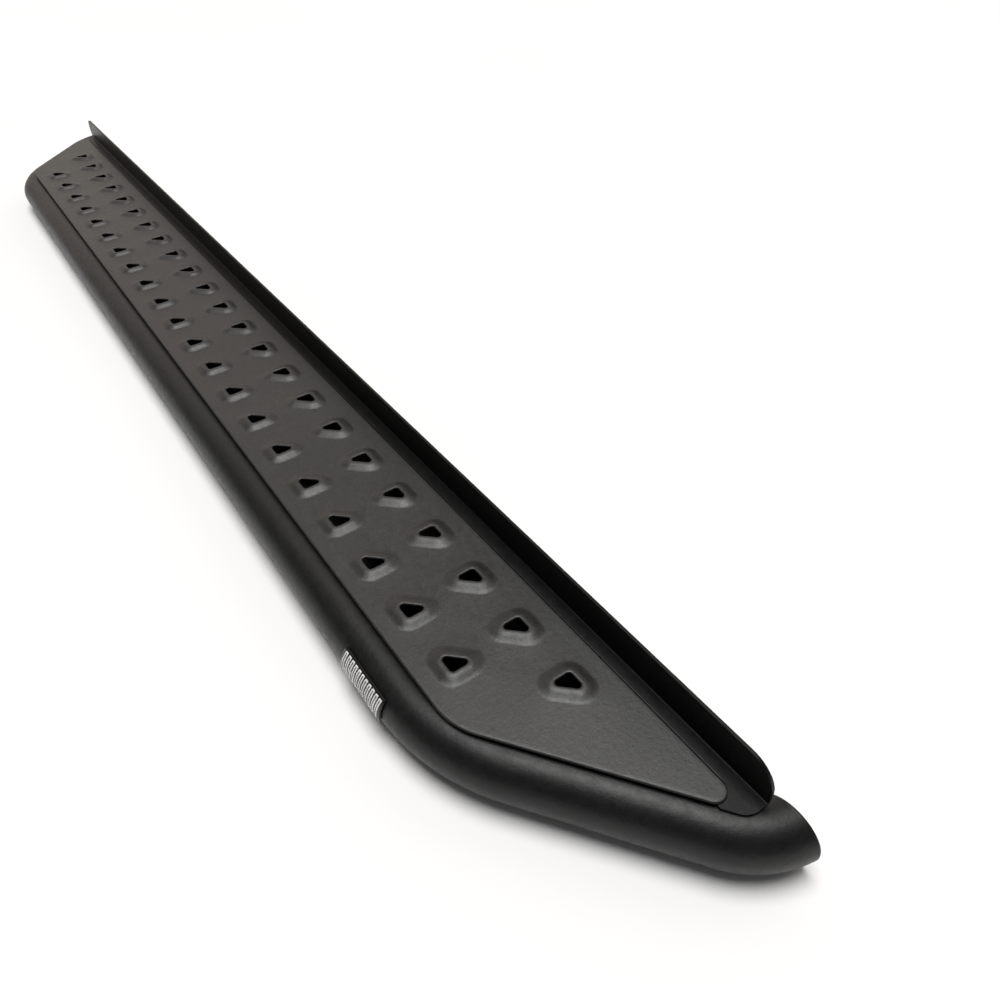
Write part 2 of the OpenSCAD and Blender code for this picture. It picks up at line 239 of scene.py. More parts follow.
class Nodes:
    """Short way to write a node tree."""

    def __init__(self, name):
        self.material = bpy.data.materials.new(name)
        self.material.use_nodes = True
        self.tree = self.material.node_tree
        self.shader = self.tree.nodes["Principled BSDF"]
        self.place = self.add("ShaderNodeTexCoord").outputs["Object"]

    def add(self, kind):
        return self.tree.nodes.new(kind)

    def link(self, a, b):
        self.tree.links.new(a, b)

    def coordinate(self, axis):
        """Place along one axis of the frame, in metres."""
        apart = self.add("ShaderNodeSeparateXYZ")
        self.link(self.place, apart.inputs[0])
        return apart.outputs[axis]

    def noise(self, size_mm, detail=4, rough=0.55, stretch=(1, 1, 1)):
        """Noise whose blobs are about size_mm wide."""
        mapping = self.add("ShaderNodeMapping")
        mapping.inputs["Scale"].default_value = stretch
        self.link(self.place, mapping.inputs["Vector"])
        noise = self.add("ShaderNodeTexNoise")
        noise.inputs["Scale"].default_value = 1 / (size_mm * MM)
        noise.inputs["Detail"].default_value = detail
        noise.inputs["Roughness"].default_value = rough
        self.link(mapping.outputs["Vector"], noise.inputs["Vector"])
        return noise.outputs["Fac"]

    def ramp(self, source, low, high, at=(0.35, 0.65)):
        """Colour or grey between two values as the source crosses the two stops."""
        ramp = self.add("ShaderNodeValToRGB")
        for stop, place, value in zip(ramp.color_ramp.elements, at, (low, high)):
            stop.position = place
            stop.color = (*value, 1) if isinstance(value, tuple) else (value,) * 3 + (1,)
        self.link(source, ramp.inputs["Fac"])
        return ramp.outputs["Color"]

    def mix(self, factor, a, b, blend="MIX"):
        node = self.add("ShaderNodeMix")
        node.data_type = "RGBA"
        node.blend_type = blend
        for socket, value in ((node.inputs[0], factor), (node.inputs[6], a), (node.inputs[7], b)):
            if isinstance(value, (int, float)):
                socket.default_value = value
            elif isinstance(value, tuple):
                socket.default_value = (*value, 1)
            else:
                self.link(value, socket)
        return node.outputs[2]

    def math(self, operation, a, b=0.0):
        node = self.add("ShaderNodeMath")
        node.operation = operation
        for socket, value in zip(node.inputs, (a, b)):
            if isinstance(value, (int, float)):
                socket.default_value = value
            else:
                self.link(value, socket)
        return node.outputs[0]

    def bump(self, height, strength, distance_mm, below=None):
        node = self.add("ShaderNodeBump")
        node.inputs["Strength"].default_value = strength
        node.inputs["Distance"].default_value = distance_mm * MM
        self.link(height, node.inputs["Height"])
        if below is not None:
            self.link(below, node.inputs["Normal"])
        return node.outputs["Normal"]


def grey(value):
    return value, value, value


def powder_coat(name, dark, light, roughness, grain_mm, grain_depth, scuff=0.0, gloss=0.5, shade_painted_below=None):
    """Textured powder coat: fine orange peel, faint dust clouds, and optional scuff marks.
    Under the given height, in metres, the coat is painted nearly black: painted shade, which draws a dark
    shadow line."""
    m = Nodes(name)
    clouds = m.noise(170, 3, 0.5)
    dust = m.noise(9, 6, 0.65)
    colour = m.ramp(clouds, dark, light, (0.3, 0.72))
    # Painted shade: under the given height the colour is swapped for near black
    if shade_painted_below is not None:
        lower = m.math("LESS_THAN", m.coordinate("Z"), shade_painted_below)
        colour = m.mix(lower, colour, grey(0.002))
    speck = m.ramp(dust, 0.86, 1.12, (0.3, 0.7))
    colour = m.mix(1.0, colour, speck, "MULTIPLY")
    grit = m.noise(grain_mm * 1.2, 2, 0.7)
    colour = m.mix(1.0, colour, m.ramp(grit, 0.7, 1.35, (0.36, 0.64)), "MULTIPLY")
    if scuff:
        streaks = m.noise(3.2, 5, 0.6, stretch=(0.12, 1, 1))
        patches = m.noise(120, 2, 0.5)
        where = m.mix(1.0, m.ramp(streaks, 0.0, 1.0, (0.60, 0.74)),
                      m.ramp(patches, 0.0, 1.0, (0.52, 0.66)), "MULTIPLY")
        strength = m.mix(1.0, where, grey(scuff), "MULTIPLY")
        colour = m.mix(strength, colour, (0.12, 0.118, 0.112))
    m.link(colour, m.shader.inputs["Base Color"])
    m.link(m.ramp(dust, roughness - 0.05, roughness + 0.07, (0.3, 0.7)), m.shader.inputs["Roughness"])
    peel = m.noise(grain_mm * 3.5, 2, 0.5)
    grain = m.noise(grain_mm, 3, 0.6)
    normal = m.bump(grain, 1.0, grain_depth, m.bump(peel, 1.0, grain_depth * 1.6))
    m.link(normal, m.shader.inputs["Normal"])
    m.shader.inputs["Specular IOR Level"].default_value = gloss
    return m.material


def moulded(name, colour, roughness, grain_mm=0.5, depth=0.015):
    """Moulded plastic or rubber with a faint grain."""
    m = Nodes(name)
    grain = m.noise(grain_mm, 3, 0.6)
    haze = m.noise(14, 4, 0.6)
    low = tuple(c * 0.8 for c in colour)
    high = tuple(min(1, c * 1.15) for c in colour)
    m.link(m.ramp(haze, low, high, (0.3, 0.7)), m.shader.inputs["Base Color"])
    m.link(m.ramp(haze, roughness - 0.04, roughness + 0.06), m.shader.inputs["Roughness"])
    m.link(m.bump(grain, 1.0, depth), m.shader.inputs["Normal"])
    return m.material


def plated_steel(name):
    m = Nodes(name)
    brushed = m.noise(1.4, 4, 0.6, stretch=(0.2, 1, 1))
    haze = m.noise(6, 3, 0.5)
    m.link(m.ramp(haze, (0.17, 0.17, 0.165), (0.26, 0.26, 0.25)), m.shader.inputs["Base Color"])
    m.link(m.ramp(brushed, 0.5, 0.66), m.shader.inputs["Roughness"])
    m.link(m.bump(brushed, 1.0, 0.02), m.shader.inputs["Normal"])
    m.shader.inputs["Metallic"].default_value = 1.0
    return m.material


TUBE_COAT = powder_coat("tube coat", grey(0.004), grey(0.0055), 0.42, 1.3, 0.11, gloss=0.36)
# Painted shade: the tread sheet's coat is painted nearly black from just under the rounding of its upper
# edge, which draws a dark shadow line round its edges
TREAD_COAT = powder_coat("tread coat", (0.017, 0.0166, 0.0162), (0.023, 0.0225, 0.022), 0.40, 1.3, 0.09,
                         scuff=0.21, shade_painted_below=(TREAD_Z - 0.9) * MM)
ANGLE_COAT = powder_coat("angle coat", grey(0.003), grey(0.0045), 0.38, 1.3, 0.07, scuff=0.3, gloss=0.2)
WELD_COAT = powder_coat("weld coat", grey(0.009), grey(0.012), 0.42, 1.6, 0.12)
PLUG = moulded("plug plastic", (0.02, 0.02, 0.021), 0.5)
BADGE_BASE = moulded("badge base", grey(0.008), 0.3, 0.4, 0.006)
BADGE_PAD = moulded("badge pad", grey(0.012), 0.8, 0.8, 0.06)
BADGE_RAISED = moulded("badge bars", (0.8, 0.8, 0.79), 0.32, 0.4, 0.006)
BADGE_INFILL = moulded("badge infill", (0.07, 0.07, 0.072), 0.4, 0.4, 0.006)
NUT_STEEL = plated_steel("weld nut steel")


# ---- bent main tube ----

# Points around every tube
RING = 96


def bend_setbacks(end):
    """How far the tangent points of the first and second bend lie from their corners."""
    angle = math.radians(end["angle"])
    return end["r1"] * math.tan(angle / 2), end["r2"] * math.tan((math.pi / 2 - angle) / 2)


def slant_length(end):
    """From the first bend's corner along the slanted stretch to where the second bend starts."""
    return (END_X - end["corner"]) / math.cos(math.radians(end["angle"])) - bend_setbacks(end)[1]


def bend_stations(end, steps=16):
    """Centre-line points and headings of one end, from the straight run to the second bend's start."""
    angle = math.radians(end["angle"])
    first_setback, _ = bend_setbacks(end)
    stations = []
    for k in range(steps + 1):
        t = angle * k / steps
        stations.append((end["corner"] - first_setback + end["r1"] * math.sin(t),
                         MAIN_Y + end["r1"] * (1 - math.cos(t)), t))
    slant = slant_length(end)
    stations.append((end["corner"] + slant * math.cos(angle), MAIN_Y + slant * math.sin(angle), angle))
    return stations


def second_bend_centre(end):
    _, second_setback = bend_setbacks(end)
    rise = (END_X - end["corner"]) * math.tan(math.radians(end["angle"]))
    return END_X - end["r2"], MAIN_Y + rise + second_setback


def section_ring(x, y, heading):
    """Ring around the centre line; its first point is on the outside of the bends."""
    out = []
    for k in range(RING):
        t = 2 * math.pi * k / RING
        side = MAIN_R * math.cos(t)
        out.append((x + side * math.sin(heading), y - side * math.cos(heading),
                    MAIN_Z + MAIN_R * math.sin(t)))
    return out


def bend_outline(end, y, radius):
    """Where the surface of a second bend of this tube radius meets the plane at y."""
    cx, cy = second_bend_centre(end)
    out = []
    for k in range(RING):
        t = 2 * math.pi * k / RING
        rho = end["r2"] + radius * math.cos(t)
        out.append((cx + math.sqrt(rho * rho - (y - cy) ** 2), y, MAIN_Z + radius * math.sin(t)))
    return out


def second_bend_rings(end, y_end, steps=18):
    """Rings that turn on round the second bend until all of the last one lies at y_end."""
    cx, cy = second_bend_centre(end)
    start = math.radians(end["angle"]) - math.pi / 2
    rings = []
    for i in range(1, steps + 1):
        ring = []
        for k in range(RING):
            t = 2 * math.pi * k / RING
            rho = end["r2"] + MAIN_R * math.cos(t)
            stop = math.asin((y_end - cy) / rho)
            a = start + (stop - start) * i / steps
            ring.append((cx + rho * math.cos(a), cy + rho * math.sin(a), MAIN_Z + MAIN_R * math.sin(t)))
        rings.append(ring)
    return rings


def tube_end_rings(end):
    """Rings of one end from the straight run to the disc, mirrored for the -X end."""
    rings = [section_ring(*s) for s in bend_stations(end)]
    rings += second_bend_rings(end, DISC_BACK)
    return [[(end["side"] * x, y, z) for x, y, z in ring] for ring in rings]


def build_main_tube():
    g = Grid()
    rings = tube_end_rings(BACK)[::-1] + tube_end_rings(FRONT)
    rows = g.skin(rings)
    g.faces += [tuple(rows[0]), tuple(rows[-1])]
    obj = add_mesh("bent_tube", g.verts, g.faces, TUBE_COAT)
    return finish_piece(obj, "powder_coat", "main_tube")


def build_disc(end, node):
    """End disc with softened edges around the plug's hole."""
    side = end["side"]
    # Rounding of the outer edge, and how far the disc stands out past the tube
    soft, proud = 0.7, 0.12
    plug_low, plug_high = node_box(node.replace("end_disc", "disc_plug"))
    mid_x = (plug_low[0] + plug_high[0]) / 2

    def outline(y, pull):
        return [(side * x, y, z) for x, y, z in bend_outline(end, y, MAIN_R - pull)]

    def hole(y, radius):
        return [(mid_x + side * radius * math.cos(2 * math.pi * k / RING), y,
                 MAIN_Z + radius * math.sin(2 * math.pi * k / RING)) for k in range(RING)]

    rings = [hole(DISC_BACK, PLUG_HOLE_R), outline(DISC_BACK, 0.0)]
    rings += [outline(DISC_BACK + 0.35, -proud), outline(DISC_FACE - soft, -proud)]
    rings += [outline(DISC_FACE - 0.3 * soft, 0.25 * soft), outline(DISC_FACE, soft)]
    rings += [hole(DISC_FACE, PLUG_HOLE_R + 0.5), hole(DISC_FACE - 0.5, PLUG_HOLE_R),
              hole(DISC_BACK, PLUG_HOLE_R)]
    g = Grid()
    g.skin(rings)
    obj = add_mesh(node + "_face", g.verts, g.faces, TUBE_COAT)
    return finish_piece(obj, "powder_coat", node)


def lathe_y(name, x, z, profile, material, segments=72):
    """Solid turned around a line along Y; profile is (radius, y) from centre to centre."""
    g = Grid()
    rings = []
    for radius, y in profile:
        rings.append([(x + radius * math.cos(2 * math.pi * k / segments), y,
                       z + radius * math.sin(2 * math.pi * k / segments)) for k in range(segments)])
    rows = g.skin(rings)
    g.faces += [tuple(rows[0]), tuple(rows[-1])]
    return add_mesh(name, g.verts, g.faces, material, sharp_angle=50)


def build_plug(node):
    """Push-in plug: a stem in the disc's hole, a flange on its face and a low button."""
    low, high = node_box(node)
    x, z = (low[0] + high[0]) / 2, (low[2] + high[2]) / 2
    flange_r = (high[0] - low[0]) / 2
    face, top = DISC_FACE, high[1]
    flange = face + 0.9
    button_r, stem_r = 7.5, 10.8
    profile = [(0.5, low[1]), (stem_r - 0.8, low[1]), (stem_r, low[1] + 0.8), (stem_r, face),
               (flange_r - 0.3, face), (flange_r, face + 0.3), (flange_r - 0.1, face + 0.65),
               (flange_r - 0.6, flange), (button_r + 1.6, flange), (button_r + 0.7, flange - 0.35),
               (button_r + 0.1, flange - 0.2), (button_r - 0.3, top - 0.15), (button_r - 0.9, top),
               (3.0, top - 0.1), (0.3, top - 0.12)]
    obj = lathe_y(node + "_body", x, z, profile, PLUG)
    return finish_piece(obj, "plug", node)


# ---- rear tube ----


def build_rear_tube():
    """Straight tube, a hair outboard of the CAD's, whose ends are hidden in the inturned ends."""
    g = Grid()
    half = END_X - REAR_SHORT
    end_step, outboard = 0.15, 0.05
    rings = []
    for x in np.linspace(-half, half, 41):
        radius = REAR_R - (end_step if abs(x) == half else 0)
        rings.append([(x, REAR_Y - outboard + radius * math.cos(2 * math.pi * k / RING),
                       REAR_Z + radius * math.sin(2 * math.pi * k / RING)) for k in range(RING)])
    rows = g.skin(rings)
    g.faces += [tuple(rows[0]), tuple(rows[-1])]
    obj = add_mesh("straight_tube", g.verts, g.faces, TUBE_COAT)
    return finish_piece(obj, "powder_coat", "rear_tube")


# ---- tread sheet with pressed holes ----

# Height of a rim, and the widths of its crown and of the slope down to its foot
RIM_RISE, RIM_CROWN, RIM_SLOPE = 3.6, 2.2, 13.4
# Cross-section of a pressed hole: (distance out from the hole's edge, height over the tread)
RIM_TOP = [(0.0, 2.3), (0.15, 2.85), (0.5, 3.3), (1.1, 3.55), (RIM_CROWN, RIM_RISE)]
RIM_TOP += [(RIM_CROWN + RIM_SLOPE * t, RIM_RISE * (1 - t) ** 2 * (1 + 2 * t))
            for t in (k / 15 for k in range(1, 16))]
RIM_UNDER = [(0.0, 1.5), (0.8, 1.15), (2.0, 0.9), (4.2, 0.45), (6.8, -0.7), (9.6, -1.95), (11.8, -2.75),
             (RIM_CROWN + RIM_SLOPE, -SHEET)]


def hole_outline(g):
    """Rounded right triangle grown outwards by g from the hole's own edge."""
    out = SIDE_SHARE * g
    lx, ly, h = HOLE_LEG_X + out, HOLE_LEG_Y + out, (HOLE_SLANT + out) * math.sqrt(2)
    radius = HOLE_CORNER + CORNER_SHARE * g
    pts = rounded([(-lx, ly), (ly + h, ly), (-lx, -lx - h)], [radius] * 3, 8)
    return anticlockwise(pts)


def hole_row(count, y, turn):
    return [(SHIFT + k * PITCH, y, turn) for k in range(-(count // 2), count // 2 + 1)]


def hole_places():
    """Centre and turn of every hole; the two rows point opposite ways."""
    return hole_row(HOLES_INBOARD, ROW_GAP / 2, 1) + hole_row(HOLES_OUTBOARD, -ROW_GAP / 2, -1)


def plate_corner(end):
    """How far out the sheet's outboard edge meets its slanted edge, before rounding."""
    angle = math.radians(end["angle"])
    return end["corner"] + (PLATE_OUT_Y - MAIN_Y) / math.tan(angle) - end["slack"] / math.sin(angle)


def plate_tip(end):
    """How far out the sheet's inboard edge meets its slanted edge, before rounding."""
    return plate_corner(end) + (PLATE_IN_Y - PLATE_OUT_Y) / math.tan(math.radians(end["angle"]))


def plate_outline():
    corners = [(-plate_corner(BACK), PLATE_OUT_Y), (plate_corner(FRONT), PLATE_OUT_Y),
               (plate_tip(FRONT), PLATE_IN_Y), (-plate_tip(BACK), PLATE_IN_Y)]
    radii = [PLATE_BEND_R, PLATE_BEND_R, PLATE_TIP_R, PLATE_TIP_R]
    return anticlockwise(subdivide(rounded(corners, radii, 14), 40))


def groove_reach(end):
    """How far out the groove beside the sheet keeps its depth; it has run out where the tip's arc starts."""
    arc = PLATE_TIP_R / math.tan(math.radians(end["angle"]) / 2)
    return plate_tip(end) - arc - GROOVE_RUN_OUT


def flat_between(g, outer, holes):
    """Fills the flat between an outer ring and the hole rings, all lists of vertex numbers."""
    pts, index, edges = [], [], []
    for loop in [outer] + holes:
        start = len(pts)
        pts += [Vector(g.verts[i][:2]) for i in loop]
        index += loop
        edges += [(start + i, start + (i + 1) % len(loop)) for i in range(len(loop))]
    verts, _, tris, origin, _, _ = delaunay_2d_cdt(pts, edges, [], 0, 1e-5)
    centres = np.array([(x, y) for x, y, _ in hole_places()])
    limits = [anticlockwise(np.array([g.verts[i][:2] for i in loop])) for loop in [outer] + holes]
    for tri in tris:
        mid = sum((verts[i] for i in tri), Vector((0, 0))) / 3
        if not inside(limits[0], mid):
            continue
        near = int(np.argmin(((centres - np.array(mid)) ** 2).sum(1)))
        if inside(limits[near + 1], mid):
            continue
        g.faces.append(tuple(index[origin[i][0]] for i in tri))


def inside(outline, point):
    """Whether a closed outline holds the point: a ray along +X crosses it an odd number of times."""
    x, y = point
    px, py = outline[:, 0], outline[:, 1]
    qx, qy = np.roll(px, -1), np.roll(py, -1)
    crosses = (py > y) != (qy > y)
    with np.errstate(divide="ignore", invalid="ignore"):
        at = px + (y - py) / (qy - py) * (qx - px)
    return int((crosses & (x < at)).sum()) % 2 == 1


def rim_rings(place, profile):
    """Rings of one pressed hole, a ring for each point of the profile."""
    x, y, turn = place
    return [[(x + turn * px, y + turn * py, TREAD_Z + height) for px, py in hole_outline(distance)]
            for distance, height in profile]


def build_tread():
    """Tread sheet in one mesh: pressed holes, flats between them, and rounded edges."""
    g = Grid()
    bases, unders = [], []
    for place in hole_places():
        top = g.skin(rim_rings(place, RIM_TOP))
        under = g.skin(rim_rings(place, RIM_UNDER))
        g.bridge(top[0], under[0])
        bases.append(top[-1])
        unders.append(under[-1])
    outline = plate_outline()
    # The long outboard edge is turned down onto the tube and rounder than the others, and the slanted ends
    # take this up within turn_width of it, over the last turn_fade
    turn_width, turn_fade = 6, 4
    turned = np.clip((PLATE_OUT_Y + turn_width - outline[:, 1]) / turn_fade, 0, 1)
    round_r = 1.5 + 0.3 * turned
    edge_z = TREAD_Z - SHEET - EDGE_TURN * turned
    # The flats start one border in from the outline; the edge's foot has a small rounding and a thickness
    border, edge_steps, under_edge_r, edge_thick = 4.2, 6, 0.4, 2.6
    rings = [[(px, py, TREAD_Z) for px, py in inset(outline, border)]]
    for k in range(edge_steps + 1):
        t = math.pi / 2 * k / edge_steps
        loop = inset(outline, round_r * (1 - math.sin(t)))
        rings.append([(px, py, TREAD_Z - r * (1 - math.cos(t))) for (px, py), r in zip(loop, round_r)])
    side = [(px, py, z + under_edge_r) for (px, py), z in zip(outline, edge_z)]
    edge = [(px, py, z) for (px, py), z in zip(inset(outline, under_edge_r), edge_z)]
    inner_edge = [(px, py, z) for (px, py), z in zip(inset(outline, edge_thick), edge_z)]
    bottom = [(px, py, TREAD_Z - SHEET) for px, py in inset(outline, border)]
    rows = g.skin(rings + [side, edge, inner_edge, bottom])
    flat_between(g, rows[0], bases)
    flat_between(g, rows[-1], unders)
    obj = add_mesh("tread_sheet", g.verts, g.faces, TREAD_COAT, sharp_angle=40)
    return finish_piece(obj, "tread_coat", "step_plate")


# ---- rear angle ----


def build_rear_angle():
    """Lip, fold and upright as one folded sheet with softened edges."""
    half = angle_high[0]
    lip_y, back_y = angle_low[1], angle_high[1]
    lip_z, top_z = angle_low[2], angle_high[2]
    outer_r = FOLD_R + SHEET
    fold_start, fold_end = back_y - outer_r, lip_z + outer_r
    corner_z = top_z - UPRIGHT_CORNER_R
    # The groove beside the tread sheet: (distance from the sheet's edge, depth)
    groove = [(-1.0, 0.0), (-0.6, GROOVE_DEPTH), (1.3, GROOVE_DEPTH), (1.7, 0.15), (2.2, 0.0)]
    lip_rows = [(y, 0.0) for y in np.linspace(lip_y, PLATE_IN_Y - 2, 20)]
    lip_rows += [(PLATE_IN_Y + away, depth) for away, depth in groove]
    lip_rows += [(y, 0.0) for y in np.linspace(PLATE_IN_Y + 3, fold_start, 8)]
    # Stations along the profile: (upper point, lower point, part, y on the lip or z on the upright)
    stations = [((y, lip_z + SHEET - dip), (y, lip_z), "lip", y) for y, dip in lip_rows]
    fold_steps = 12
    for k in range(1, fold_steps):
        t = math.pi / 2 * k / fold_steps
        stations.append(((fold_start + FOLD_R * math.sin(t), fold_end - FOLD_R * math.cos(t)),
                         (fold_start + outer_r * math.sin(t), fold_end - outer_r * math.cos(t)), "fold", 0))
    for z in np.concatenate([np.linspace(fold_end, corner_z, 4)[:-1],
                             top_z - UPRIGHT_CORNER_R * (1 - np.sin(np.linspace(0, math.pi / 2, 22)))]):
        stations.append(((back_y - SHEET, z), (back_y, z), "upright", z))

    def reach(kind, value, end):
        """How far out along X the angle runs at a station."""
        if kind == "lip":
            slope = math.tan(math.radians(end["angle"]))
            # The slanted line starts past the lip's edge, so that every station crosses it
            past = 40
            start = (half - LIP_SLANT - past, lip_y - past * slope)
            line = rounded([start, (half, lip_y + LIP_SLANT * slope), (half, back_y + 5)],
                           [0, LIP_TIP_R, 0], 24)
            return float(np.interp(value, line[:, 1], line[:, 0]))
        if kind == "upright" and value > corner_z:
            rise = min(value - corner_z, UPRIGHT_CORNER_R)
            return half - UPRIGHT_CORNER_R + math.sqrt(max(UPRIGHT_CORNER_R ** 2 - rise ** 2, 0))
        return half

    # Closer columns at the ends, where the groove runs out
    columns = np.concatenate([np.linspace(-1, -0.95, 21), np.linspace(-0.9, 0.9, 27),
                              np.linspace(0.95, 1, 21)])
    groove_ends = [groove_reach(BACK), groove_reach(FRONT)]
    g = Grid()
    upper, lower = [], []
    for up, down, kind, value in stations:
        ends = -reach(kind, value, BACK), reach(kind, value, FRONT)
        xs = [ends[0] + (ends[1] - ends[0]) * (c + 1) / 2 for c in columns]
        dip = lip_z + SHEET - up[1] if kind == "lip" else 0.0
        tops = []
        for x in xs:
            beyond = abs(x) - groove_ends[int(x > 0)]
            tops.append((x, up[0], up[1] + dip * min(max(beyond / GROOVE_RUN_OUT, 0), 1)))
        upper.append(g.ring(tops))
        lower.append(g.ring([(x, *down) for x in xs]))
    for rows in (upper, lower):
        for a, b in zip(rows, rows[1:]):
            g.bridge(a, b, closed=False)
    g.bridge(upper[0], lower[0], closed=False)
    g.bridge(upper[-1], lower[-1], closed=False)
    for edge in (0, -1):
        g.bridge([r[edge] for r in upper], [r[edge] for r in lower], closed=False)
    obj = add_mesh("rear_angle_sheet", g.verts, g.faces, ANGLE_COAT)
    soften(obj, 0.5)
    return finish_piece(obj, "angle_coat", "rear_angle")


def soften(obj, width_mm):
    """Bevels the edges that are sharper than 50 degrees."""
    bevel = obj.modifiers.new("softened edges", "BEVEL")
    bevel.width = width_mm * MM
    bevel.segments = 2
    bevel.limit_method = "ANGLE"
    bevel.angle_limit = math.radians(50)
    bevel.harden_normals = True


# ---- badge ----


def on_tube(x, degrees, radius):
    """Point around the main tube; degrees rise from its outboard side to its crown."""
    t = math.radians(degrees)
    return x, MAIN_Y - radius * math.cos(t), MAIN_Z + radius * math.sin(t)


def curved_pad(g, outline, radius0, radius1, soft):
    """Plate of the given (x, arc length) outline wrapped on the tube between two radii."""
    outline = anticlockwise(outline)
    mid = outline.mean(0)

    def wrapped(loop, radius):
        return [on_tube(x, math.degrees(s / MAIN_R), radius) for x, s in loop]

    inner = inset(outline, soft)
    loops = [(outline, radius0), (outline, radius1 - soft),
             (inset(outline, 0.3 * soft), radius1 - 0.3 * soft), (inner, radius1)]
    rings = [wrapped(loop, r) for loop, r in loops]
    for share in (0.75, 0.5, 0.25):
        rings.append(wrapped(mid + (inner - mid) * share, radius1))
    rows = g.skin(rings)
    centre = g.ring([on_tube(mid[0], math.degrees(mid[1] / MAIN_R), radius1)])[0]
    n = len(rows[-1])
    g.faces += [(rows[-1][i], rows[-1][(i + 1) % n], centre) for i in range(n)]


def arc_length(degrees):
    return math.radians(degrees) * MAIN_R


def box_outline(x0, x1, s0, s1, radius, lean=0.0):
    """Rounded box over (x, arc length), whose upper side is shifted along X by twice the lean."""
    pts = [(x0 - lean, s0), (x1 - lean, s0), (x1 + lean, s1), (x0 + lean, s1)]
    return subdivide(rounded(pts, [radius] * 4, 5), 4)


def build_badge():
    """Foam pad, plate and leaning bars with darker middles, all wrapped on the main tube."""
    x0, x1 = badge_low[0], badge_high[0]
    s0, s1 = arc_length(-4), arc_length(46)
    plate_foot = MAIN_R + 0.8
    plate_face = plate_foot + 1.7
    g = Grid()
    curved_pad(g, box_outline(x0, x1, s0, s1, 2.5), plate_foot, plate_face, 0.5)
    plate = add_mesh("badge_body", g.verts, g.faces, BADGE_BASE)
    finish_piece(plate, "badge_base", "badge_plate")
    g = Grid()
    curved_pad(g, box_outline(x0 + 1, x1 - 1, s0 + 0.5, s1 - 0.5, 2), MAIN_R - 0.1, plate_foot + 0.05, 0.1)
    pad = add_mesh("badge_foam", g.verts, g.faces, BADGE_PAD)
    finish_piece(pad, "badge_pad", "badge_pad")
    bars, infill = Grid(), Grid()
    bar_count, margin, lean = 11, 2.5, 1.0
    step = (x1 - x0 - 2 * margin) / bar_count
    width = step * 0.68
    for i in range(bar_count):
        x = x0 + margin + (i + 0.5) * step
        curved_pad(bars, box_outline(x - width / 2, x + width / 2, s0 + 2.2, s1 - 2.2, 0.8, lean),
                   plate_face - 0.1, plate_face + 0.7, 0.25)
        curved_pad(infill, box_outline(x - width / 6, x + width / 6, s0 + 3.4, s1 - 3.4, 0.5, lean),
                   plate_face + 0.5, plate_face + 0.74, 0.04)
    inner = add_mesh("badge_infill", infill.verts, infill.faces, BADGE_INFILL)
    finish_piece(inner, "badge_raised")
    slats = add_mesh("badge_slats", bars.verts, bars.faces, BADGE_RAISED)
    finish_piece(slats, "badge_raised", "badge_bars")


# ---- welds ----


def weld_bead(g, path, radius, normal, seed, segments=12):
    """Rippled bead along a path of points, flattened a little along its normal."""
    path = [Vector(p) for p in path]
    up = Vector(normal).normalized()
    rings = []
    total = len(path) - 1
    for i, p in enumerate(path):
        a, b = path[max(i - 1, 0)], path[min(i + 1, total)]
        along = (b - a).normalized()
        side = along.cross(up).normalized()
        lift = side.cross(along).normalized()
        share = i / total
        taper = math.sqrt(max(0.0, 1 - (2 * share - 1) ** 8)) * 0.85 + 0.15
        ripple = 1 + 0.03 * math.sin(i * 1.9 + seed) + 0.07 * math.sin(i * 0.7 + 2 * seed)
        r = radius * taper * ripple
        rings.append([tuple(p + side * (r * math.cos(2 * math.pi * k / segments))
                            + lift * (0.8 * r * math.sin(2 * math.pi * k / segments)))
                      for k in range(segments)])
    rows = g.skin(rings)
    g.faces += [tuple(rows[0]), tuple(rows[-1])]


def straight_path(x, y, z, length, count):
    return [(x - length / 2 + length * k / count, y, z) for k in range(count + 1)]


def node_islands(name):
    """Boxes of the separate solids in a CAD node, in millimetres."""
    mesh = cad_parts[name].data
    b = bmesh.new()
    b.from_mesh(mesh)
    bmesh.ops.remove_doubles(b, verts=b.verts, dist=1e-6)
    left, boxes = set(b.verts), []
    while left:
        stack, island = [left.pop()], []
        while stack:
            v = stack.pop()
            island.append(v.co / MM)
            for e in v.link_edges:
                o = e.other_vert(v)
                if o in left:
                    left.discard(o)
                    stack.append(o)
        pts = np.array(island)
        boxes.append((pts.min(0), pts.max(0)))
    b.free()
    return sorted(boxes, key=lambda c: tuple(c[0]))


def solid_beads(node, piece, radius, normal, count=16, shift=(0, 0, 0), uneven=False):
    """A bead along X for every solid of a CAD weld node; uneven ones are longer by 2 to 7 mm."""
    g = Grid()
    for i, (low, high) in enumerate(node_islands(node)):
        x, y, z = (low + high) / 2 + shift
        longer = 2 + 5 * abs(math.sin(3.1 * i)) if uneven else 0
        weld_bead(g, straight_path(x, y, z, high[0] - low[0] + longer, count), radius, normal, i)
    obj = add_mesh(piece, g.verts, g.faces, WELD_COAT)
    finish_piece(obj, "weld_coat", node)


def build_welds():
    solid_beads("angle_stitch_welds", "angle_stitches", 3.4, (0, 1, 0.6), 30, (0, -0.1, -0.2), uneven=True)
    solid_beads("plate_stitch_welds", "plate_stitches", 2.0, (0, 1, 0))
    solid_beads("cross_member_welds", "cross_member_beads", 3.0, (0, 0, -1), 30)
    g = Grid()
    for end in (FRONT, BACK):
        weld_bead(g, joint_path(end, 70), 3.2, (end["side"], 0, 0), end["side"], 10)
    obj = add_mesh("tube_joint_beads", g.verts, g.faces, WELD_COAT)
    finish_piece(obj, "weld_coat", "tube_joint_welds")


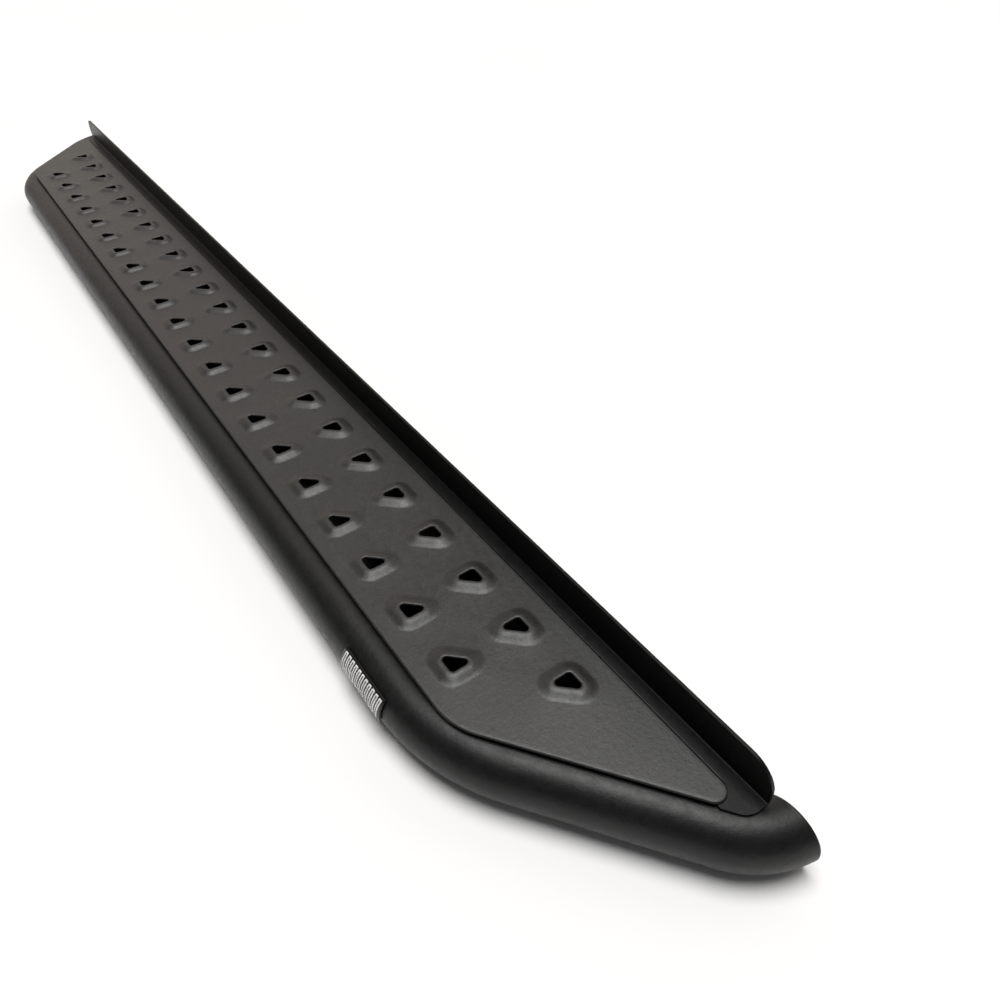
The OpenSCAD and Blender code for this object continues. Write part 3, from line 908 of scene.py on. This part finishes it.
def surface_gap(end, x, y, z):
    """Distance of a point from the end's centre line, less the tube's radius."""
    angle = math.radians(end["angle"])
    across = min(math.hypot(x - px, y - py) for px, py, _ in bend_stations(end))
    dx, dy = x - end["corner"], y - MAIN_Y
    if bend_setbacks(end)[0] <= dx * math.cos(angle) + dy * math.sin(angle) <= slant_length(end):
        across = min(across, abs(-dx * math.sin(angle) + dy * math.cos(angle)))
    cx, cy = second_bend_centre(end)
    if math.atan2(y - cy, x - cx) >= angle - math.pi / 2:
        across = min(across, abs(math.hypot(x - cx, y - cy) - end["r2"]))
    return math.hypot(across, z - MAIN_Z) - MAIN_R


def joint_path(end, count):
    """Line where the rear tube meets the inturned end, over its inboard and lower sides."""
    # From high on the inboard side round under the tube, a little proud of its surface
    start, sweep, proud = 58, 200, 0.4
    out = []
    for k in range(count + 1):
        t = math.radians(start - sweep * k / count)
        y = REAR_Y + (REAR_R + proud) * math.cos(t)
        z = REAR_Z + (REAR_R + proud) * math.sin(t)
        y = min(y, DISC_FACE - 1.2)
        # The place along X is found by halving the stretch that holds it
        low, high = 880.0, 1000.0
        for _ in range(30):
            x = (low + high) / 2
            if surface_gap(end, x, y, z) > 0:
                low = x
            else:
                high = x
        out.append((end["side"] * low, y, z))
    return out


# ---- CAD nodes that keep their shape ----


def coat_kept_nodes():
    """Cross members and weld nuts: the CAD's own shapes under these materials."""
    for name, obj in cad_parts.items():
        if name.startswith("cross_member_") and name[-1].isdigit():
            give(obj, TUBE_COAT)
        elif name.startswith("weld_nuts_"):
            give(obj, NUT_STEEL)


def give(obj, material):
    obj.data.materials.clear()
    obj.data.materials.append(material)


# ---- floor, light, camera ----


def build_floor():
    """Pale floor with a painted shadow under the board: a dark patch which keeps the tread's holes black."""
    m = Nodes("pale floor")
    pale = m.ramp(m.noise(900, 2, 0.4), 0.92, 0.94)
    # The painted shadow patch in metres: half its width, its middle, how far it runs along X, and how its
    # ends slant
    half_width, middle, reach, slope = 0.073, -0.002, 0.85, 1.2
    across = m.coordinate("Y")
    along = m.math("SUBTRACT", m.math("ABSOLUTE", m.coordinate("X")), m.math("MULTIPLY", across, slope))
    beside = m.math("LESS_THAN", m.math("ABSOLUTE", m.math("ADD", across, -middle)), half_width)
    under = m.math("MULTIPLY", beside, m.math("LESS_THAN", along, reach))
    # Painted shadow: the floor's colour is near black inside the patch
    m.link(m.mix(under, pale, grey(0.02)), m.shader.inputs["Base Color"])
    m.shader.inputs["Roughness"].default_value = 0.9
    half = 9.0
    mesh = bpy.data.meshes.new("floor")
    mesh.from_pydata([(-half, -half, 0), (half, -half, 0), (half, half, 0), (-half, half, 0)],
                     [], [(0, 1, 2, 3)])
    mesh.materials.append(m.material)
    floor = bpy.data.objects.new("floor", mesh)
    bpy.context.scene.collection.objects.link(floor)


def soft_sun(name, toward, strength, spread, colour):
    """Even light from one side of the sky; spread is how wide the soft source looks, in degrees."""
    data = bpy.data.lights.new(name, "SUN")
    data.energy = strength
    data.angle = math.radians(spread)
    data.color = colour
    obj = bpy.data.objects.new(name, data)
    obj.rotation_euler = Vector(toward).to_track_quat("-Z", "Y").to_euler()
    bpy.context.scene.collection.objects.link(obj)


def softbox(name, place, target, size, power):
    """Square area light at a place in metres, aimed at a target."""
    data = bpy.data.lights.new(name, "AREA")
    data.shape = "SQUARE"
    data.size = size
    data.energy = power
    obj = bpy.data.objects.new(name, data)
    obj.location = place
    aim = Vector(target) - Vector(place)
    obj.rotation_euler = aim.to_track_quat("-Z", "Y").to_euler()
    bpy.context.scene.collection.objects.link(obj)


def build_world():
    """Dim all-round light; the room behind the floor is seen as white."""
    world = bpy.data.worlds.new("studio")
    bpy.context.scene.world = world
    world.use_nodes = True
    tree = world.node_tree
    background = tree.nodes["Background"]
    background.inputs["Color"].default_value = (1.0, 1.0, 1.0, 1)
    path = tree.nodes.new("ShaderNodeLightPath")
    strength = tree.nodes.new("ShaderNodeMapRange")
    strength.inputs["To Min"].default_value = WORLD_LIGHT
    strength.inputs["To Max"].default_value = WORLD_SEEN
    tree.links.new(path.outputs["Is Camera Ray"], strength.inputs["Value"])
    tree.links.new(strength.outputs["Result"], background.inputs["Strength"])


def build_light():
    bpy.context.scene.view_settings.view_transform = "Standard"
    build_world()
    soft_sun("key", (0.10, -0.06, -0.99), 2.85, 38, (1.0, 0.99, 0.98))
    softbox("near end", (1.05, -0.17, 1.6), (0.82, -0.03, 0.06), 0.5, 0.3)
    soft_sun("far end", (0.95, -0.12, -0.27), 0.5, 60, (1.0, 0.88, 0.77))
    soft_sun("vehicle side", (0.15, -1.0, -0.28), 0.8, 70, (1.0, 0.92, 0.85))


def build_camera():
    data = bpy.data.cameras.new("camera")
    data.lens = CAMERA_LENS
    data.sensor_width = CAMERA_SENSOR
    data.clip_end = 50
    camera = bpy.data.objects.new("camera", data)
    aim = Vector(CAMERA_FORWARD).to_track_quat("-Z", "Y").to_matrix().to_4x4()
    roll = Matrix.Rotation(math.radians(CAMERA_ROLL), 4, "Z")
    camera.matrix_world = Matrix.Translation(CAMERA_PLACE) @ aim @ roll
    bpy.context.scene.collection.objects.link(camera)
    bpy.context.scene.camera = camera


build_main_tube()
build_rear_tube()
build_disc(FRONT, "front_end_disc")
build_disc(BACK, "back_end_disc")
build_plug("front_disc_plug")
build_plug("back_disc_plug")
build_tread()
build_rear_angle()
build_badge()
build_welds()
coat_kept_nodes()
build_floor()
build_light()
build_camera()
